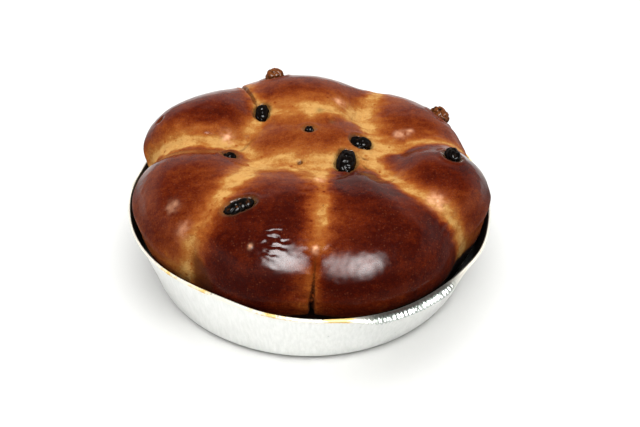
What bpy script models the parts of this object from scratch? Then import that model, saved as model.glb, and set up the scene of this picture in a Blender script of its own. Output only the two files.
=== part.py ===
"""A round pull-apart challah with raisins, baked in a foil pan.

Seven balls of dough stand in a ring round an eighth. They rose and baked into one
loaf, so the loaf is a single solid whose top still shows every roll. The frame is
the pan's: the origin is the centre of its flat base, +Z is up and -Y is the front.
"""

import math
from collections import namedtuple

import bmesh
import bpy
import numpy as np
from mathutils import Matrix, Vector
from mathutils.bvhtree import BVHTree

MM = 0.001
GAP = 0.35 * MM  # left between solids that touch in the real object

# The foil pan: a round tray 180 mm across its rim.
PAN_SIDES = 64
FOIL = 0.5 * MM
BASE_RADIUS = 80.0 * MM
CORNER_RADIUS = 5.0 * MM
WALL_RADIUS = 87.4 * MM
WALL_HEIGHT = 36.5 * MM
BEAD_RADIUS = 1.6 * MM
BEAD_ARC = (200, -100)  # degrees, where the curl of the rim starts and ends
BEAD_STEPS = 6
CORNER_STEPS = 4

# Where a hand has pushed the soft rim in or out: bearing, half width, shift.
Push = namedtuple("Push", "bearing spread shift")
RIM_PUSHES = (
    Push(-121, 21, -4.2 * MM),
    Push(-62, 24, 2.6 * MM),
    Push(-29, 13, 1.8 * MM),
    Push(21, 18, -2.8 * MM),
    Push(164, 14, -1.6 * MM),
)

# The loaf. Each ball lies with its length along a turn from +X, counter-clockwise seen
# from above, and is wider at its far end by the taper. Sizes are in millimetres.
Roll = namedtuple("Roll", "name x y turn half_length half_width taper top")
ROLLS = (
    Roll("front_right", 24, -42, -62, 40, 34, 0.30, 66),
    Roll("right", 60.5, -13, -8, 26, 29.5, 0.0, 64),
    Roll("back_right", 50, 34, 31, 26, 31.5, 0.15, 59.5),
    Roll("back", -4, 50, 82, 29.5, 37, 0.20, 67),
    Roll("back_left", -49, 33.5, 127, 28, 33, 0.25, 67.5),
    Roll("left", -52, -19, 202, 32.5, 37.5, 0.05, 65),
    Roll("front_left", -16, -42, 249, 39.5, 34, 0.05, 68),
    Roll("middle", -2, 18, 90, 28.5, 34.5, 0.10, 64.5),
)
ROLL_BELLY = 35.0 * MM  # height at which a roll is widest
ROLL_FULLNESS = 2.35  # 2 is an ellipsoid, and more is fuller towards its corners
# How wide a corner the dough fills between two rolls, near the middle and at the rim.
INNER_FILL = 13.0
RIM_FILL = 9.0
INNER_REACH = 45.0
RIM_REACH = 80.0
# The dough that closes up between the rolls: it fills the pan, and rises in the middle.
CRUMB_RADIUS = 83.0 * MM
CRUMB_TOP = 43.0 * MM
CRUMB_DOME = (76.0 * MM, 76.0 * MM, 24.0 * MM)
LOAF_VOXEL = 2.2 * MM
LOAF_SMOOTHING = 8
MELT_STEPS = 4
MELT_SMOOTHING = 2
MELT_ABOVE = 30.0 * MM
LOAF_DETAIL = 0.1  # share of the faces that is kept
SIDE_SHRINK = 1.7 * MM  # how far the baked loaf has drawn away from the rim
ROOM_ABOVE = 60.0 * MM

# Raisins: place on the loaf, bearing of their length, size in mm, and how deep each lies.
Raisin = namedtuple("Raisin", "x y bearing length width height sunk")
RAISINS = (
    Raisin(17.9, -5.0, 72, 14.5, 10.0, 8.5, 0.50),
    Raisin(25.2, 12.4, -10, 11.5, 8.5, 7.0, 0.55),
    Raisin(-23.8, 33.8, 82, 11.5, 7.5, 7.5, 0.58),
    Raisin(-38.6, 0.6, 25, 8.5, 7.0, 7.0, 0.68),
    Raisin(-32.6, -45.6, 18, 17.0, 8.0, 7.0, 0.66),
    Raisin(0.2, 16.4, 0, 5.8, 5.2, 5.6, 0.66),
    Raisin(69.6, -2.8, 100, 11.5, 8.0, 7.5, 0.52),
    Raisin(67.8, 44.4, -35, 12.0, 9.0, 8.5, 0.45),
    Raisin(-17.9, 66.4, 10, 10.5, 8.5, 8.5, 0.45),
)
RAISIN_SIDES = 12
RAISIN_RINGS = 7
RAISIN_FULLNESS = 2.4

CRUST_BROWN = (0.36, 0.10, 0.02, 1.0)
RAISIN_BLACK = (0.012, 0.008, 0.010, 1.0)
FOIL_GREY = (0.83, 0.84, 0.83, 1.0)


# ---------------------------------------------------------------- small helpers
def clear_scene():
    for obj in list(bpy.data.objects):
        bpy.data.objects.remove(obj, do_unlink=True)


def new_collection(name):
    made = bpy.data.collections.new(name)
    bpy.context.scene.collection.children.link(made)
    return made


def principled(name, colour, roughness, metallic=0.0):
    material = bpy.data.materials.new(name)
    material.use_nodes = True
    shader = material.node_tree.nodes["Principled BSDF"]
    shader.inputs["Base Color"].default_value = colour
    shader.inputs["Roughness"].default_value = roughness
    shader.inputs["Metallic"].default_value = metallic
    return material


def object_from(bm, name, collection, material=None):
    mesh = bpy.data.meshes.new(name)
    bm.to_mesh(mesh)
    bm.free()
    obj = bpy.data.objects.new(name, mesh)
    collection.objects.link(obj)
    if material:
        mesh.materials.append(material)
    return obj


def as_helper(obj):
    """Keeps a cutter or a guide out of the finished part."""
    obj.hide_render = True
    obj.display_type = "WIRE"
    return obj


def freeze(obj):
    """Replaces an object's mesh with what its modifiers make of it."""
    graph = bpy.context.evaluated_depsgraph_get()
    mesh = bpy.data.meshes.new_from_object(obj.evaluated_get(graph))
    obj.modifiers.clear()
    obj.data = mesh
    return obj


def boolean(obj, other, operation):
    modifier = obj.modifiers.new(operation.lower(), "BOOLEAN")
    modifier.operation = operation
    modifier.object = other
    return modifier


def superellipsoid(bm, half_sizes, fullness, sides, rings):
    """A rounded solid between an ellipsoid, at a fullness of 2, and a box."""
    made = bmesh.ops.create_uvsphere(bm, u_segments=sides, v_segments=rings, radius=1.0)
    for vertex in made["verts"]:
        reach = sum(abs(c) ** fullness for c in vertex.co) ** (-1.0 / fullness)
        vertex.co = Vector(c * reach * h for c, h in zip(vertex.co, half_sizes))
    return made["verts"]


# ---------------------------------------------------------------- the foil pan
def rim_shift(angle):
    """How far the rim stands off a true circle at this angle, in radians."""
    total = 0.0
    for push in RIM_PUSHES:
        away = math.degrees(angle) - push.bearing
        away = (away + 180.0) % 360.0 - 180.0
        total += push.shift * math.exp(-((away / push.spread) ** 2))
    return total


def push_wall(obj):
    """Bends a turned shape with the rim: nothing moves at the base, and all of it above."""
    for vertex in obj.data.vertices:
        x, y, z = vertex.co
        radius = math.hypot(x, y)
        if radius < BASE_RADIUS / 2:
            continue
        share = min(max(z / WALL_HEIGHT, 0.0), 1.0)
        grown = 1.0 + rim_shift(math.atan2(y, x)) * share / radius
        vertex.co = (x * grown, y * grown, z)


def turned(name, profile, collection, material=None, sides=PAN_SIDES):
    """A profile of (radius, height) points, top to bottom, turned round the Z axis."""
    bm = bmesh.new()
    points = [bm.verts.new((radius, 0.0, height)) for radius, height in profile]
    for start, end in zip(points, points[1:]):
        bm.edges.new((start, end))
    obj = object_from(bm, name, collection, material)
    screw = obj.modifiers.new("turn", "SCREW")
    screw.steps = screw.render_steps = sides
    screw.use_merge_vertices = True
    screw.merge_threshold = 0.00001
    return freeze(obj)


def arc(centre, radius, start, end, steps):
    """Points on an arc, its angles in degrees counter-clockwise from outwards."""
    turns = [math.radians(start + (end - start) * i / steps) for i in range(steps + 1)]
    return [
        (centre[0] + radius * math.cos(turn), centre[1] + radius * math.sin(turn))
        for turn in turns
    ]


def wall_profile(inset):
    """Half of the pan's outline, from the wall's top to the middle of the base."""
    corner = (BASE_RADIUS - CORNER_RADIUS, CORNER_RADIUS)
    lean = math.atan2(WALL_RADIUS - BASE_RADIUS, WALL_HEIGHT - CORNER_RADIUS)
    corner_arc = arc(
        corner, CORNER_RADIUS - inset, -math.degrees(lean), -90, CORNER_STEPS
    )
    top = (WALL_RADIUS - inset, WALL_HEIGHT)
    return [top, *corner_arc, (0.0, inset)]


def make_pan(collection, material):
    """A thin shell: wall, rounded corner and flat base, with the rim curled over outwards."""
    outside = wall_profile(0.0)
    inside = wall_profile(FOIL)
    curl_centre = (WALL_RADIUS + BEAD_RADIUS - FOIL, WALL_HEIGHT + BEAD_RADIUS)
    start, end = BEAD_ARC
    over = arc(curl_centre, BEAD_RADIUS, start, end, BEAD_STEPS)
    under = arc(curl_centre, BEAD_RADIUS - FOIL, end, start, BEAD_STEPS - 1)
    # From the middle of the inside up, over the curl and back down the outside.
    profile = [*reversed(inside), *over, *under, *outside]
    pan = turned("foil_pan", profile, collection, material)
    push_wall(pan)
    return pan


# ---------------------------------------------------------------- the loaf
def add_roll(bm, roll):
    """One ball of dough, at its place in the ring."""
    half_height = roll.top * MM - ROLL_BELLY
    half_sizes = (roll.half_length * MM, roll.half_width * MM, half_height)
    verts = superellipsoid(bm, half_sizes, ROLL_FULLNESS, sides=40, rings=24)
    turn = Matrix.Rotation(math.radians(roll.turn), 4, "Z")
    place = Matrix.Translation((roll.x * MM, roll.y * MM, ROLL_BELLY)) @ turn
    for vertex in verts:
        vertex.co.y *= 1.0 + roll.taper * vertex.co.x / half_sizes[0]
        vertex.co = place @ vertex.co


def add_crumb(bm):
    """The dough below the rolls, which fills the pan between them."""
    depth = CRUMB_TOP - FOIL
    made = bmesh.ops.create_cone(
        bm,
        cap_ends=True,
        segments=PAN_SIDES,
        radius1=BASE_RADIUS,
        radius2=CRUMB_RADIUS,
        depth=depth,
    )
    bmesh.ops.translate(bm, verts=made["verts"], vec=(0.0, 0.0, FOIL + depth / 2))
    dome = superellipsoid(bm, CRUMB_DOME, fullness=2.0, sides=48, rings=24)
    bmesh.ops.translate(bm, verts=dome, vec=(0.0, 0.0, ROLL_BELLY))


def solid_gap(points, centre, half_sizes, fullness, turn=0.0, taper=0.0):
    """Roughly how far each point lies outside a rounded solid: below 0 is inside it."""
    east, north, upward = (points - np.array(centre)).T
    along = east * math.cos(turn) + north * math.sin(turn)
    across = north * math.cos(turn) - east * math.sin(turn)
    middle_gap = np.sqrt(along**2 + across**2 + upward**2)
    share = along / half_sizes[0]
    widened = half_sizes[1] * (1.0 + taper * np.clip(share, -1.5, 1.5))
    total = np.abs(share) ** fullness + np.abs(across / widened) ** fullness
    total += np.abs(upward / half_sizes[2]) ** fullness
    field = np.maximum(total, 1e-9) ** (1.0 / fullness)
    return middle_gap * (1.0 - 1.0 / np.maximum(field, 0.05))


def join_gaps(first, second, fill):
    """The nearer of two distances, with the corner between the two forms filled."""
    near = np.clip(fill - np.abs(first - second), 0.0, None)
    return np.minimum(first, second) - near * near / (4.0 * fill)


def loaf_gap(points):
    """Roughly how far each point, in metres, lies outside the risen loaf."""
    gaps = []
    for roll in ROLLS:
        centre = (roll.x * MM, roll.y * MM, ROLL_BELLY)
        half_sizes = (roll.half_length * MM, roll.half_width * MM, roll.top * MM - ROLL_BELLY)
        turn = math.radians(roll.turn)
        gaps.append(solid_gap(points, centre, half_sizes, ROLL_FULLNESS, turn, roll.taper))
    core = solid_gap(points, (0.0, 0.0, ROLL_BELLY), CRUMB_DOME, 2.0)
    reach = np.hypot(points[:, 0], points[:, 1])
    core = np.minimum(core, np.maximum(reach - CRUMB_RADIUS, points[:, 2] - CRUMB_TOP))
    outer = np.clip((reach / MM - INNER_REACH) / (RIM_REACH - INNER_REACH), 0.0, 1.0)
    fill = (INNER_FILL + (RIM_FILL - INNER_FILL) * outer) * MM
    total = core
    for number, gap in enumerate(gaps):
        for other in gaps[:number]:
            total = np.minimum(total, join_gaps(gap, other, fill))
    return total


def fill_corners(loaf):
    """Moves the skin out to where the dough has filled the corners between the rolls."""
    mesh = loaf.data
    points = np.empty(len(mesh.vertices) * 3)
    normals = np.empty(len(mesh.vertices) * 3)
    mesh.vertices.foreach_get("co", points)
    mesh.vertex_normals.foreach_get("vector", normals)
    points, normals = points.reshape(-1, 3), normals.reshape(-1, 3)
    step = np.clip(loaf_gap(points), -3.0 * MM, 3.0 * MM) * (points[:, 2] > MELT_ABOVE)
    mesh.vertices.foreach_set("co", (points - normals * step[:, None]).ravel())
    mesh.update()
    soften = loaf.modifiers.new("soften", "SMOOTH")
    soften.iterations = MELT_SMOOTHING
    return freeze(loaf)


def make_pan_room(collection):
    """All the space that the loaf may fill: inside the pan, and open above its rim."""
    inset = FOIL + GAP
    lower = wall_profile(inset)
    shrunk_top = (WALL_RADIUS - inset - SIDE_SHRINK, WALL_HEIGHT)
    brim = WALL_RADIUS + 4 * BEAD_RADIUS
    above = WALL_HEIGHT + 2 * BEAD_RADIUS + GAP
    over_rim = (WALL_RADIUS - SIDE_SHRINK, above)
    ceiling = WALL_HEIGHT + ROOM_ABOVE
    profile = [(0.0, ceiling), (brim, ceiling), (brim, above + 2 * BEAD_RADIUS)]
    profile += [over_rim, shrunk_top, *lower[1:]]
    room = as_helper(turned("pan_room", profile, collection))
    push_wall(room)
    return room


def make_loaf(collection, helpers, material):
    """Rolls and crumb melted into one closed surface, then cut to the pan."""
    bm = bmesh.new()
    for roll in ROLLS:
        add_roll(bm, roll)
    add_crumb(bm)
    loaf = object_from(bm, "loaf", collection, material)
    melt = loaf.modifiers.new("melt", "REMESH")
    melt.mode = "VOXEL"
    melt.voxel_size = LOAF_VOXEL
    soften = loaf.modifiers.new("soften", "SMOOTH")
    soften.iterations = LOAF_SMOOTHING
    freeze(loaf)
    for _ in range(MELT_STEPS):
        fill_corners(loaf)
    thin_out = loaf.modifiers.new("thin_out", "DECIMATE")
    thin_out.ratio = LOAF_DETAIL
    freeze(loaf)
    room = make_pan_room(helpers)
    boolean(loaf, room, "INTERSECT")
    return freeze(loaf)


# ---------------------------------------------------------------- the raisins
def raisin_place(loaf_tree, raisin):
    """The turn and place that lay a raisin on the crust and sink it in."""
    above = Vector((raisin.x * MM, raisin.y * MM, 1.0))
    hit, normal, _, _ = loaf_tree.ray_cast(above, Vector((0.0, 0.0, -1.0)))
    bearing = math.radians(raisin.bearing)
    along = Vector((math.cos(bearing), math.sin(bearing), 0.0))
    along = (along - normal * along.dot(normal)).normalized()
    across = normal.cross(along)
    turn = Matrix((along, across, normal)).transposed().to_4x4()
    depth = raisin.height * MM * (raisin.sunk - 0.5)
    return Matrix.Translation(hit - normal * depth) @ turn


def raisin_solid(name, raisin, place, grown, collection, material=None):
    """A plump raisin, or with grown above 0 the pocket that it lies in."""
    sizes = (raisin.length, raisin.width, raisin.height)
    half_sizes = [size * MM / 2 + grown for size in sizes]
    bm = bmesh.new()
    superellipsoid(bm, half_sizes, RAISIN_FULLNESS, RAISIN_SIDES, RAISIN_RINGS)
    bmesh.ops.transform(bm, matrix=place, verts=bm.verts)
    return object_from(bm, name, collection, material)


def add_raisins(loaf, collection, helpers, material):
    """Presses each raisin into the loaf, with its pocket cut to fit."""
    graph = bpy.context.evaluated_depsgraph_get()
    loaf_tree = BVHTree.FromObject(loaf, graph)
    for number, raisin in enumerate(RAISINS, start=1):
        place = raisin_place(loaf_tree, raisin)
        raisin_solid(f"raisin_{number}", raisin, place, 0.0, collection, material)
        pocket = raisin_solid(f"pocket_{number}", raisin, place, GAP, helpers)
        boolean(loaf, as_helper(pocket), "DIFFERENCE")


def main():
    clear_scene()
    parts = new_collection("pull_apart_challah")
    helpers = new_collection("cutters")
    crust = principled("crust", CRUST_BROWN, roughness=0.35)
    raisin_skin = principled("raisin_skin", RAISIN_BLACK, roughness=0.3)
    foil = principled("foil", FOIL_GREY, roughness=0.3, metallic=1.0)
    make_pan(parts, foil)
    loaf = make_loaf(parts, helpers, crust)
    add_raisins(loaf, parts, helpers, raisin_skin)


main()
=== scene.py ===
# %% [markdown]
# # A pull-apart challah in its foil pan
#
# Eight balls of dough, seven in a ring round an eighth, have risen and baked into one
# round raisin loaf. It still sits in the thin foil pan that it was baked in. The plain
# solids of the loaf, the pan and the raisins are loaded first. They fix where
# everything is and how big it is, and each is then replaced by a piece with the fine
# shape and the finish of the real thing.

# %% Load the plain solids
import math
from collections import namedtuple
from contextlib import contextmanager

import bpy
import numpy as np
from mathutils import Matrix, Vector, noise
from mathutils.bvhtree import BVHTree


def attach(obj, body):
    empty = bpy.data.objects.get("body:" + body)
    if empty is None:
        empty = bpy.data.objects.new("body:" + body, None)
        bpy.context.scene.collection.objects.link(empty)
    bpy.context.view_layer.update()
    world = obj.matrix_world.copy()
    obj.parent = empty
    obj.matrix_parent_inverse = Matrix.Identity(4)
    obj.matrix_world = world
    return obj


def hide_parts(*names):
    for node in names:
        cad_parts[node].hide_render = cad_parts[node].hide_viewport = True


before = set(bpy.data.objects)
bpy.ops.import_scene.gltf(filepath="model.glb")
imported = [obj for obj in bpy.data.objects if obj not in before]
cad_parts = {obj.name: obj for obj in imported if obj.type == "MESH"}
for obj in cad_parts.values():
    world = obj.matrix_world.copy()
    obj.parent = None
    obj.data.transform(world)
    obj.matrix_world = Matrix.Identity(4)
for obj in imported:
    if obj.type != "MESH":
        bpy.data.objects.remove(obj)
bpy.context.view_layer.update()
MM = 0.001
print("nodes:", ", ".join(sorted(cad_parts)))

# %% [markdown]
# ## Working habits
#
# Blender's operators act on whatever is selected, and the loaded solids start out
# selected. So every step first clears the selection and then picks its own object.
# A modifier is always applied at once, which leaves plain meshes that are easy to
# measure and to sculpt in code.

# %% Selecting, applying and reading a mesh
def pick(*objects):
    if bpy.context.object and bpy.context.object.mode != "OBJECT":
        bpy.ops.object.mode_set(mode="OBJECT")
    bpy.ops.object.select_all(action="DESELECT")
    for obj in objects:
        obj.select_set(True)
    bpy.context.view_layer.objects.active = objects[0]


def apply_modifier(obj, kind, **settings):
    pick(obj)
    modifier = obj.modifiers.new(kind.lower(), kind)
    for setting, value in settings.items():
        setattr(modifier, setting, value)
    bpy.ops.object.modifier_apply(modifier=modifier.name)


def settle(obj):
    """Moves an object's place, turn and size into its mesh."""
    pick(obj)
    bpy.ops.object.transform_apply(location=True, rotation=True, scale=True)


@contextmanager
def editing(obj):
    """Edit mode on this object, with all of it selected, and out again at the end."""
    pick(obj)
    bpy.ops.object.mode_set(mode="EDIT")
    bpy.ops.mesh.select_all(action="SELECT")
    yield
    bpy.ops.object.mode_set(mode="OBJECT")


def face_outwards():
    bpy.ops.mesh.select_all(action="SELECT")
    bpy.ops.mesh.normals_make_consistent(inside=False)


def read_points(mesh, what="co"):
    """All vertex places, or normals, as rows of an array."""
    source = mesh.vertices if what == "co" else mesh.vertex_normals
    rows = np.empty(len(mesh.vertices) * 3)
    source.foreach_get("co" if what == "co" else "vector", rows)
    return rows.reshape(-1, 3)


def write_points(mesh, points):
    mesh.vertices.foreach_set("co", np.ascontiguousarray(points).ravel())
    mesh.update()


def smooth_step(value, low, high):
    """0 below low, 1 above high, and an S-shaped rise between them."""
    share = np.clip((value - low) / (high - low), 0.0, 1.0)
    return share * share * (3.0 - 2.0 * share)


SEED_STRIDE = (7.3, 3.1, 5.7)  # each seed reads the noise in a place of its own


def lumps(points, size, seed=0.0, detail=1):
    """Smooth random lumps of about this size, from -1 to 1, one number a point."""
    shift = Vector([seed * stride for stride in SEED_STRIDE])
    values = np.zeros(len(points))
    for octave in range(detail):
        scaled = points * (2.0**octave / size)
        layer = [noise.noise(Vector(row) + shift) for row in scaled]
        values += np.array(layer) / 2.0**octave
    return values


def skin_of(obj):
    """Vertex places, in millimetres, and normals."""
    return read_points(obj.data) / MM, read_points(obj.data, "normal")


def store_values(obj, **values):
    """Keeps numbers on the mesh, one a vertex under each name, for a material to read."""
    for name, numbers in values.items():
        layer = obj.data.attributes.new(name, "FLOAT", "POINT")
        layer.data.foreach_set("value", numbers.astype(np.float32))


def count_triangles(obj):
    return sum(len(polygon.vertices) - 2 for polygon in obj.data.polygons)


# %% [markdown]
# ## Helpers for nodes
#
# The same few nodes come back in every material and in the light, so small helpers add
# and link them. A socket is given either a plain value or another node's output.

# %% Node helpers
def feed(tree, value, socket):
    if isinstance(value, bpy.types.NodeSocket):
        tree.links.new(value, socket)
    else:
        socket.default_value = value


def add_node(tree, kind, sockets, **settings):
    node = tree.nodes.new("ShaderNode" + kind)
    for name, value in settings.items():
        setattr(node, name, value)
    for key, value in sockets.items():
        feed(tree, value, node.inputs[key])
    return node


def reckon(tree, operation, *values):
    return add_node(tree, "Math", dict(enumerate(values)), operation=operation).outputs[0]


def times(tree, first, second):
    return reckon(tree, "MULTIPLY", first, second)


def times_plus(tree, value, factor, extra):
    return reckon(tree, "MULTIPLY_ADD", value, factor, extra)


def rise_between(tree, value, low, high):
    """0 below low, 1 above high, smooth between. Low may be the larger one."""
    sockets = {"Value": value, "From Min": low, "From Max": high}
    return add_node(tree, "MapRange", sockets, interpolation_type="SMOOTHSTEP").outputs[0]


def blend_colours(tree, share, first, second, mode="MIX"):
    sockets = {0: share, 6: first, 7: second}
    node = add_node(tree, "Mix", sockets, data_type="RGBA", blend_type=mode)
    return node.outputs[2]


def ramp_colours(tree, value, stops):
    node = add_node(tree, "ValToRGB", {"Fac": value})
    elements = node.color_ramp.elements
    while len(elements) < len(stops):
        elements.new(1.0)
    for element, (place, colour) in zip(elements, stops):
        element.position = place
        element.color = (*colour, 1.0)
    return node.outputs["Color"]


def surface_value(tree, name):
    return add_node(tree, "Attribute", {}, attribute_name=name).outputs["Fac"]


# %% [markdown]
# ## Camera, light and floor
#
# The loaf is seen from a little above its front edge, on a bare white table. On a real
# table one large window and a white room do all the lighting. A picture of such a room
# could be wrapped round the scene, but then its parts couldn't be moved one by one. So
# each job has a light of its own here. The ceiling silk lights the dough and is never
# mirrored. The window does the opposite: it shows only as the broad gleam on each front
# roll, and its pane fades towards the edge, which gives the gleam its soft border. A
# weak silk at the front lifts the pan's wall. The surroundings are white near the
# horizon all round, which lays a pale haze on crust that curves away, and dark overhead,
# which keeps the tops of the rolls deep.

# %% Camera
CAMERA_SPOT = Vector((0.0, -0.4685, 0.4126))
AIM = Vector((0.0054, 0.0116, 0.0136))
SENSOR_WIDTH = 36.0
LENS = 67.5

camera_data = bpy.data.cameras.new("camera")
camera_data.sensor_width = SENSOR_WIDTH
camera_data.lens = LENS
camera = bpy.data.objects.new("camera", camera_data)
camera.location = CAMERA_SPOT
camera.rotation_euler = (AIM - CAMERA_SPOT).to_track_quat("-Z", "Y").to_euler()
bpy.context.scene.collection.objects.link(camera)
bpy.context.scene.camera = camera
bpy.context.scene.view_settings.view_transform = "Standard"
print("camera to loaf: %.0f mm" % ((AIM - CAMERA_SPOT).length / MM))

# %% The mirrored surroundings
WALL_GLOW = 0.52
SKY_GLOW = 0.05
WALL_COLOUR = (1.0, 0.99, 0.97, 1.0)
# Height, as a sine, where the white walls start to fade and where the dark begins.
WALL_FADE = (0.30, 0.70)

world = bpy.data.worlds.new("surroundings")
world.use_nodes = True
bpy.context.scene.world = world
sky = world.node_tree
backdrop = sky.nodes["Background"].inputs
looking = add_node(sky, "TexCoord", {}).outputs["Generated"]
height = add_node(sky, "SeparateXYZ", {"Vector": looking}).outputs["Z"]
walls = rise_between(sky, height, WALL_FADE[1], WALL_FADE[0])
feed(sky, times_plus(sky, walls, WALL_GLOW, SKY_GLOW), backdrop["Strength"])
feed(sky, WALL_COLOUR, backdrop["Color"])
print("sky nodes:", len(sky.nodes))


# %% Soft light from above and from the front
def add_light(name, shape, place, target, sizes, watts):
    """A flat light that faces its target."""
    data = bpy.data.lights.new(name, "AREA")
    data.shape = shape
    data.size, data.size_y = sizes
    data.energy = watts
    light = bpy.data.objects.new(name, data)
    light.location = place
    facing = Vector(target) - Vector(place)
    light.rotation_euler = facing.to_track_quat("-Z", "Y").to_euler()
    bpy.context.scene.collection.objects.link(light)
    print("%s: %.0f W" % (name, watts))
    return light


MIDDLE = (0.0, 0.0, 0.0)
CEILING_SPOT = (0.0, 0.1, 2.2)
BELOW_CEILING = (0.0, 0.1, 0.0)
CEILING_SIZE = (3.8, 3.8)
CEILING_WATTS = 206.0
FRONT_SPOT = (-0.1, -1.7, 0.9)
FRONT_SIZE = (1.4, 1.4)
FRONT_WATTS = 5.0

ceiling = add_light(
    "ceiling_silk", "SQUARE", CEILING_SPOT, BELOW_CEILING, CEILING_SIZE, CEILING_WATTS
)
front_silk = add_light("front_silk", "SQUARE", FRONT_SPOT, MIDDLE, FRONT_SIZE, FRONT_WATTS)
for silk in (ceiling, front_silk):
    silk.visible_glossy = False


# %% The window
def direction(bearing, height):
    """Unit vector to this compass bearing and height above the floor, in degrees."""
    flat = math.cos(math.radians(height))
    along = math.cos(math.radians(bearing))
    across = math.sin(math.radians(bearing))
    return Vector((flat * along, flat * across, math.sin(math.radians(height))))


WINDOW_BEARING = -78.0
WINDOW_HEIGHT = 48.0
WINDOW_DISTANCE = 1.5
WINDOW_SIZE = (1.7, 1.6)
WINDOW_WATTS = 250.0
# How far from the middle of the pane it is dark, and how near it is at its brightest.
PANE_FADE = (0.5, 0.08)

window_spot = direction(WINDOW_BEARING, WINDOW_HEIGHT) * WINDOW_DISTANCE
window = add_light("window", "ELLIPSE", window_spot, MIDDLE, WINDOW_SIZE, WINDOW_WATTS)
window.visible_diffuse = False
window.data.use_nodes = True
pane = window.data.node_tree
spot = add_node(pane, "NewGeometry", {}).outputs["Parametric"]
sockets = {0: spot, 1: (0.5, 0.5, 0.0)}
away = add_node(pane, "VectorMath", sockets, operation="DISTANCE").outputs["Value"]
feed(pane, rise_between(pane, away, *PANE_FADE), pane.nodes["Emission"].inputs["Strength"])
print("window pane nodes:", len(pane.nodes))

# %% Floor
FLOOR_SIZE = 8.0
FLOOR_GREY = (0.51, 0.51, 0.50, 1.0)

bpy.ops.mesh.primitive_plane_add(size=FLOOR_SIZE, location=MIDDLE)
floor = bpy.context.object
floor.name = "floor"
floor_paint = bpy.data.materials.new("floor_white")
floor_paint.use_nodes = True
floor_shader = floor_paint.node_tree.nodes["Principled BSDF"]
floor_shader.inputs["Base Color"].default_value = FLOOR_GREY
floor_shader.inputs["Roughness"].default_value = 0.9
floor_shader.inputs["Specular IOR Level"].default_value = 0.0
floor.data.materials.append(floor_paint)
print("floor: %.0f m square" % FLOOR_SIZE)

# %% [markdown]
# ## The pan's outline
#
# The pan is a round tray pressed from thin foil. Its wall leans outwards, and hands
# have pushed the soft rim in and out, so the rim isn't a true circle. Both the pan and
# the loaf inside it need to know where the wall is, so its shape is written down once,
# as functions of the bearing, in degrees, and the height.

# %% Wall and rim as functions
BASE_RADIUS = 80.0
CORNER_RADIUS = 5.0
WALL_RADIUS = 89.3
WALL_HEIGHT = 36.5
BEAD_RADIUS = 0.75

Push = namedtuple("Push", "bearing spread shift")
RIM_PUSHES = (
    Push(-121, 21, -4.2),
    Push(-62, 24, 2.6),
    Push(-29, 13, 1.8),
    Push(21, 18, -2.8),
    Push(164, 14, -1.6),
)


def bump_at(bearing, centre, spread):
    """1 at this bearing, falling smoothly to 0 on both sides."""
    away = (bearing - centre + 180.0) % 360.0 - 180.0
    return np.exp(-((away / spread) ** 2))


def pushed(bearing, pushes):
    """How far all of these pushes together move a point at this bearing."""
    return sum(p.shift * bump_at(bearing, p.bearing, p.spread) for p in pushes)


def wall_slope(height):
    """Radius of the wall before anyone has pushed it."""
    share = (height - CORNER_RADIUS) / (WALL_HEIGHT - CORNER_RADIUS)
    return BASE_RADIUS + (WALL_RADIUS - BASE_RADIUS) * share


def wall_reach(bearing, height):
    """Radius of the foil wall, in millimetres."""
    bent = pushed(bearing, RIM_PUSHES) * np.clip(height / WALL_HEIGHT, 0.0, 1.0)
    return wall_slope(height) + bent


print("widest at the rim: %.1f mm" % max(wall_reach(np.arange(360.0), WALL_HEIGHT)))

# %% [markdown]
# ## The foil pan
#
# It starts as a circle of many short edges. That ring is extruded again and again,
# across the base, up the wall and over the rim, as one would shape it by hand. A lathed
# profile would give the same rings, but extruding keeps their order, which the next step
# needs. At most bearings the rim is rolled into a bead. At the right front it is bent
# open into a flat crimped flange. Solidify gives the sheet its thickness last.

# %% Outlines of the rim
PAN_EDGES = 1600
FOIL = 0.16
RIM_POINTS = 11
BEAD_TURN = 285.0  # degrees that the foil curls through
FLANGE_REACH = 4.8
FLANGE_ARCH = 0.9
ARCH_TURN = 0.8  # the arch runs through this share of half a wave
FLANGE_DROOP = 1.6
HEM_START = 0.75  # share of the outline that is flange, and the rest is its hem
HEM_HEIGHT = -1.1
HEM_TUCK = 1.1
HEM_ROUND = 0.5
HEM_DROP = 0.8


def bead_point(share):
    """Rolled rim, outwards and upwards from the wall's top: up, over and back under."""
    turn = math.radians(180.0 - BEAD_TURN * share)
    return (BEAD_RADIUS * (1.0 + math.cos(turn)), BEAD_RADIUS * math.sin(turn))


def flange_point(share):
    """Open rim: a flat strip that droops outwards, with a small hem under its edge."""
    if share < HEM_START:
        out = share / HEM_START
        arch = FLANGE_ARCH * math.sin(math.pi * out * ARCH_TURN)
        return (FLANGE_REACH * out, arch - FLANGE_DROOP * out * out)
    tuck = (share - HEM_START) / (1.0 - HEM_START)
    fold = HEM_ROUND * math.sin(math.pi * tuck)
    return (FLANGE_REACH - HEM_TUCK * tuck + fold, HEM_HEIGHT - HEM_DROP * tuck)


print("flange stands %.1f mm out" % flange_point(HEM_START)[0])

# %% Rings of the pan
BASE_RINGS = ((20.0, 0.5), (60.0, 0.5), (66.0, 0.4), (68.5, 0.0))
CORNER_RINGS = 4
WALL_HEIGHTS = (10.0, 16.0, 22.0, 27.0, 31.0, 34.0, WALL_HEIGHT)


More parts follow.
